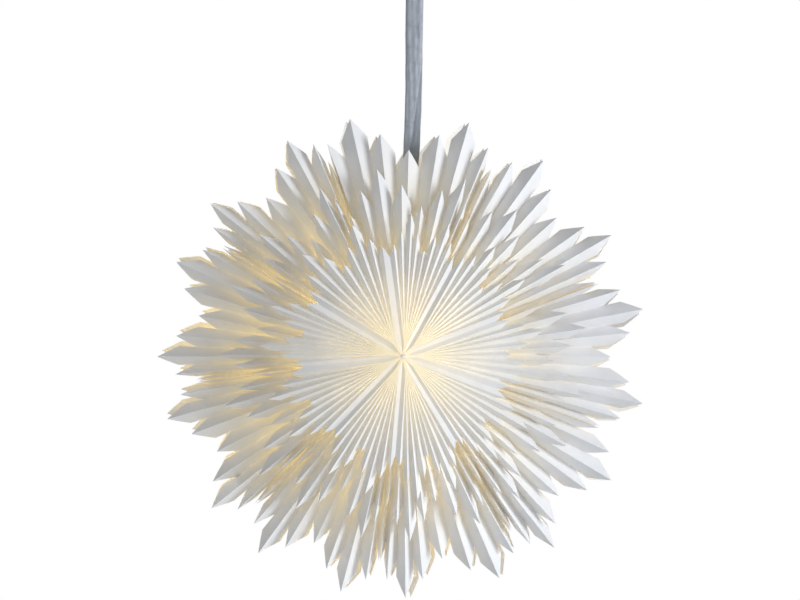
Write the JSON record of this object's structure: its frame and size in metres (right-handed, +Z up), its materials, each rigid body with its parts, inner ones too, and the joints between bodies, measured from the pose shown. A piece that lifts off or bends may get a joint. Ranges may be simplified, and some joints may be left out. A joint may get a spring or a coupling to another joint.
{
  "type": "paper star lantern",
  "caption": "Pleated paper star pendant lamp, lit from inside, hung from a ceiling bracket and cup by a cord in a flat fabric sleeve.",
  "frame": {"origin": "middle of the ceiling bracket's top face, on the ceiling", "axes": "+Z up, the star's axis along Y, its front towards -Y, +X to the right as seen from the front"},
  "size_m": [0.5912, 0.2096, 0.8158],
  "materials": {
    "star_paper": "matte",
    "core_paper": "matte",
    "seam_card": "matte",
    "carrier_card": "matte",
    "closing_dots": "matte",
    "holder_plastic": "satin",
    "contact_ceramic": "matte",
    "contact_brass": "satin",
    "screw_steel": "satin",
    "bulb_cap_metal": "satin",
    "bulb_tip_metal": "satin",
    "bulb_insulator": "gloss",
    "bulb_glass": "gloss",
    "bulb_stem_glass": "gloss",
    "bulb_filament": "matte",
    "cable_sheath": "matte",
    "strap_fabric": "satin",
    "ferrule_plastic": "satin",
    "clamp_plastic": "satin",
    "terminal_plastic": "matte",
    "bracket_steel": "satin",
    "hook_steel": "satin",
    "cup_plastic": "satin"
  },
  "bodies": {
    "ceiling": {"ceiling_bracket": "bracket_steel", "ceiling_hook": "hook_steel"},
    "cup": {"ceiling_cup": "cup_plastic"},
    "link": {"hanging_link": "hook_steel"},
    "clamp": {"cord_clamp": "clamp_plastic", "clamp_screw": "screw_steel", "flex_tail": "cable_sheath", "terminal_block": "terminal_plastic", "terminal_screws": "screw_steel"},
    "cord": {"cable": "cable_sheath", "fabric_sleeve": "strap_fabric", "sleeve_ferrule": "ferrule_plastic", "lampholder_cap": "holder_plastic", "lampholder_body": "holder_plastic", "cord_grip": "holder_plastic", "contact_block": "contact_ceramic", "block_screws": "screw_steel", "screw_shell": "contact_brass"},
    "contact": {"centre_contact": "contact_brass"},
    "bulb": {"bulb_glass": "bulb_glass", "bulb_cap": "bulb_cap_metal", "bulb_insulator": "bulb_insulator", "bulb_tip": "bulb_tip_metal", "bulb_stem": "bulb_stem_glass", "bulb_filaments": "bulb_filament"},
    "star": {"carrier_card": "carrier_card", "seam_card_1": "seam_card", "seam_card_2": "seam_card", "seam_card_3": "seam_card", "seam_card_4": "seam_card", "seam_card_5": "seam_card", "seam_card_6": "seam_card", "seam_card_7": "seam_card", "seam_card_8": "seam_card", "seam_card_9": "seam_card", "closing_card": "seam_card", "closing_dots": "closing_dots", "front_core": "core_paper", "back_core": "core_paper", "front_unit_1": "star_paper", "front_unit_2": "star_paper", "front_unit_3": "star_paper", "front_unit_4": "star_paper", "front_unit_5": "star_paper", "front_unit_6": "star_paper", "front_unit_7": "star_paper", "front_unit_8": "star_paper", "front_unit_9": "star_paper", "back_unit_1": "star_paper", "back_unit_2": "star_paper", "back_unit_3": "star_paper", "back_unit_4": "star_paper", "back_unit_5": "star_paper", "back_unit_6": "star_paper", "back_unit_7": "star_paper", "back_unit_8": "star_paper", "back_unit_9": "star_paper"},
    "ring": {"shade_ring": "holder_plastic"}
  },
  "joints": [
    {"name": "cup_turn", "type": "hinge", "parent": "ceiling", "child": "cup", "pos_m": [0, 0, 0], "axis": [0, 0, 1], "range_deg": [0, 25]},
    {"name": "swing_fore_aft", "type": "hinge", "parent": "ceiling", "child": "link", "pos_m": [0, 0, -0.015], "axis": [1, 0, 0], "range_deg": [-10, 10]},
    {"name": "swing_sideways", "type": "hinge", "parent": "link", "child": "clamp", "pos_m": [0, 0, -0.027], "axis": [0, 1, 0], "range_deg": [-10, 10]},
    {"name": "cord_twist", "type": "hinge", "parent": "clamp", "child": "cord", "pos_m": [0, 0, -0.05], "axis": [0, 0, 1], "range_deg": [-90, 90]},
    {"name": "contact_travel", "type": "slide", "parent": "cord", "child": "contact", "axis": [0, 0, -1], "range_m": [0, 0.002]},
    {"name": "bulb_turn", "type": "hinge", "parent": "contact", "child": "bulb", "pos_m": [0, 0, -0.47], "axis": [0, 0, -1], "range_deg": [0, 255]},
    {"name": "star_lower", "type": "slide", "parent": "cord", "child": "star", "axis": [0, 0, -1], "range_m": [0, 0.004]},
    {"name": "ring_turn", "type": "hinge", "parent": "star", "child": "ring", "pos_m": [0, 0, -0.462], "axis": [0, 0, -1], "range_deg": [0, 720]}
  ],
  "couplings": [
    {"joint": "contact_travel", "follows": "bulb_turn", "m_per_rad": 0.00044914},
    {"joint": "ring_turn", "follows": "star_lower", "rad_per_m": 3141.6}
  ]
}
